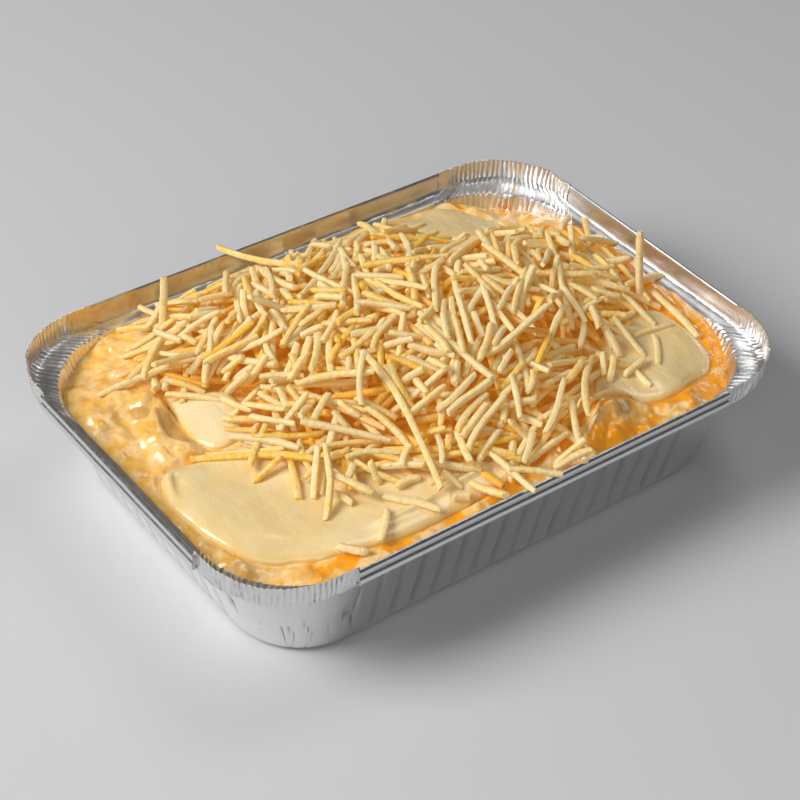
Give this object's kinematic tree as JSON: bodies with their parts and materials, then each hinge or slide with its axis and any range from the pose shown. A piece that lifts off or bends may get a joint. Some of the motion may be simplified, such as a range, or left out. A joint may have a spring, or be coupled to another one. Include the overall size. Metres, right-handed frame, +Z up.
{
  "type": "tray of creamy shredded chicken with potato straws",
  "caption": "Rectangular foil takeaway tray filled with creamy shredded chicken, melted cheese slices and a heap of shoestring potatoes.",
  "frame": {"origin": "centre of the tray's base, on the surface it stands on", "axes": "+X along the tray's long side, +Y along its short side, +Z up"},
  "size_m": [0.22, 0.1558, 0.0642],
  "materials": {
    "foil": "bright rolled foil with flutes, crimps and fine creases",
    "creamy_chicken": "wet, glossy, lumpy cream sauce",
    "melted_cheese": "soft satin, melted edges",
    "fried_potato": "dry, lightly oily fried potato"
  },
  "bodies": {
    "root": {"foil_tray": "foil", "chicken_filling": "creamy_chicken", "cheese_slice_front": "melted_cheese", "cheese_slice_back": "melted_cheese", "cheese_slice_right": "melted_cheese", "cheese_slice_left": "melted_cheese", "potato_straws": "fried_potato", "loose_straw_1": "fried_potato", "loose_straw_2": "fried_potato", "loose_straw_3": "fried_potato", "loose_straw_4": "fried_potato", "loose_straw_5": "fried_potato"}
  },
  "joints": []
}
